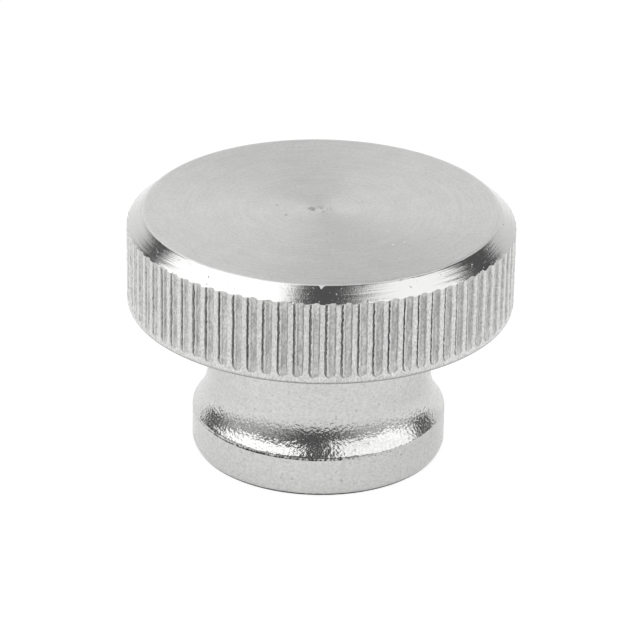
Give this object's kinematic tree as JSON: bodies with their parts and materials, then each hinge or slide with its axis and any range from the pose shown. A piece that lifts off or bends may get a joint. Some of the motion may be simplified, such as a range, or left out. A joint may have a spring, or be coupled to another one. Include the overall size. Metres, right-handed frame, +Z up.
{
  "type": "knurled nut",
  "caption": "High knurled nut with a closed top: a wide flat head with a straight knurl, a waisted neck and a collar with a blind threaded hole.",
  "frame": {"origin": "centre of the foot, on the plane that the collar stands on and that the threaded hole opens in", "axes": "+Z up along the axis of the nut and its thread, from the foot to the closed top face; the nut is the same all round Z, and +Y points away from the side that is seen first"},
  "size_m": [0.03, 0.03, 0.0198],
  "materials": {
    "stainless_steel": "turned and lightly polished stainless steel, satin on the neck and collar, bright on the chamfer, coarser in the rolled knurl"
  },
  "bodies": {
    "root": {"knurled_nut": "stainless_steel"}
  },
  "joints": []
}
